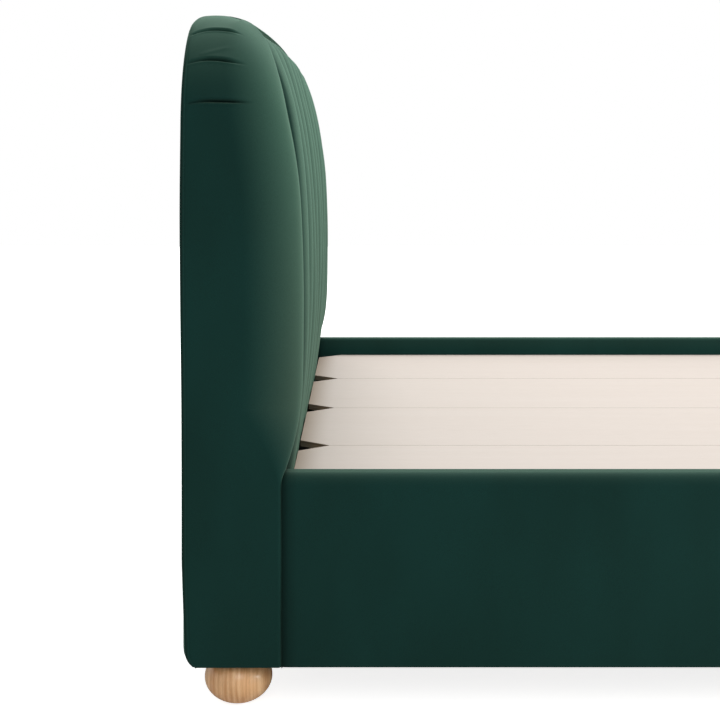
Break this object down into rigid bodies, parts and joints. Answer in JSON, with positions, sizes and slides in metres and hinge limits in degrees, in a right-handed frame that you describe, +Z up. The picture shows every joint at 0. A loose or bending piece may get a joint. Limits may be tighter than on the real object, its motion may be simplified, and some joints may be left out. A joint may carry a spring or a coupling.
{
  "type": "upholstered bed",
  "caption": "Upholstered double bed: rounded fluted headboard, padded rails, long lift-out deck boards and wooden bun feet, in dark green velvet.",
  "frame": {"origin": "on the floor, under the middle of the bed's outer length and width", "axes": "+X from the headboard to the foot, +Y to the left of a sleeper on the back, +Z up"},
  "size_m": [2.26, 1.59, 1.2],
  "materials": {
    "green_velvet": "short-pile velvet over foam, dark bottle green",
    "birch_ply": "pale, sanded, unvarnished",
    "oiled_hardwood": "turned, satin lacquer",
    "carcass_ply": "raw sheet material",
    "pine_timber": "planed softwood",
    "grey_felt": "pressed felt",
    "black_steel": "powder coat",
    "zinc_steel": "zinc plated",
    "black_nylon": "moulded"
  },
  "bodies": {
    "bed_frame": {"back_cover": "green_velvet", "back_panel": "carcass_ply", "base_board": "carcass_ply", "bearer_1": "pine_timber", "bearer_2": "pine_timber", "bearer_3": "pine_timber", "bearer_4": "pine_timber", "bearer_5": "pine_timber", "border_pad_left": "green_velvet", "border_pad_right": "green_velvet", "bottom_rail": "pine_timber", "bracket_bolts": "zinc_steel", "bun_foot_1": "oiled_hardwood", "bun_foot_2": "oiled_hardwood", "bun_foot_3": "oiled_hardwood", "bun_foot_4": "oiled_hardwood", "centre_beam": "pine_timber", "centre_leg_1": "black_steel", "centre_leg_2": "black_steel", "corner_blocks": "pine_timber", "corner_former_left": "pine_timber", "corner_former_right": "pine_timber", "felt_pads": "grey_felt", "flute_1": "green_velvet", "flute_2": "green_velvet", "flute_3": "green_velvet", "flute_4": "green_velvet", "flute_5": "green_velvet", "flute_6": "green_velvet", "flute_7": "green_velvet", "flute_8": "green_velvet", "foot_ledger": "pine_timber", "foot_rail_core": "pine_timber", "foot_rail_cover": "green_velvet", "front_skin": "carcass_ply", "hanger_bolts": "zinc_steel", "ledger_left": "pine_timber", "ledger_right": "pine_timber", "middle_rail": "pine_timber", "rib_1": "carcass_ply", "rib_2": "carcass_ply", "rib_3": "carcass_ply", "rib_4": "carcass_ply", "side_rail_core_left": "pine_timber", "side_rail_core_right": "pine_timber", "side_rail_cover_left": "green_velvet", "side_rail_cover_right": "green_velvet", "steel_brackets": "black_steel", "top_pad": "green_velvet", "top_rail": "pine_timber", "upright_left": "pine_timber", "upright_right": "pine_timber", "wood_screws": "zinc_steel"},
    "deck_board_1": {"deck_board_1": "birch_ply"},
    "deck_board_2": {"deck_board_2": "birch_ply"},
    "deck_board_3": {"deck_board_3": "birch_ply"},
    "deck_board_4": {"deck_board_4": "birch_ply"},
    "leg_glide_1": {"leg_glide_1": "black_nylon"},
    "leg_glide_2": {"leg_glide_2": "black_nylon"}
  },
  "joints": [
    {"name": "board_lift_1", "type": "slide", "parent": "bed_frame", "child": "deck_board_1", "axis": [0.1736, 0, 0.9848], "range_m": [0, 0.3]},
    {"name": "board_lift_2", "type": "slide", "parent": "bed_frame", "child": "deck_board_2", "axis": [0.1736, 0, 0.9848], "range_m": [0, 0.3]},
    {"name": "board_lift_3", "type": "slide", "parent": "bed_frame", "child": "deck_board_3", "axis": [0.1736, 0, 0.9848], "range_m": [0, 0.3]},
    {"name": "board_lift_4", "type": "slide", "parent": "bed_frame", "child": "deck_board_4", "axis": [0.1736, 0, 0.9848], "range_m": [0, 0.3]},
    {"name": "glide_screw_1", "type": "slide", "parent": "bed_frame", "child": "leg_glide_1", "axis": [0, 0, 1], "range_m": [-0.012, 0]},
    {"name": "glide_screw_2", "type": "slide", "parent": "bed_frame", "child": "leg_glide_2", "axis": [0, 0, 1], "range_m": [-0.012, 0]}
  ]
}
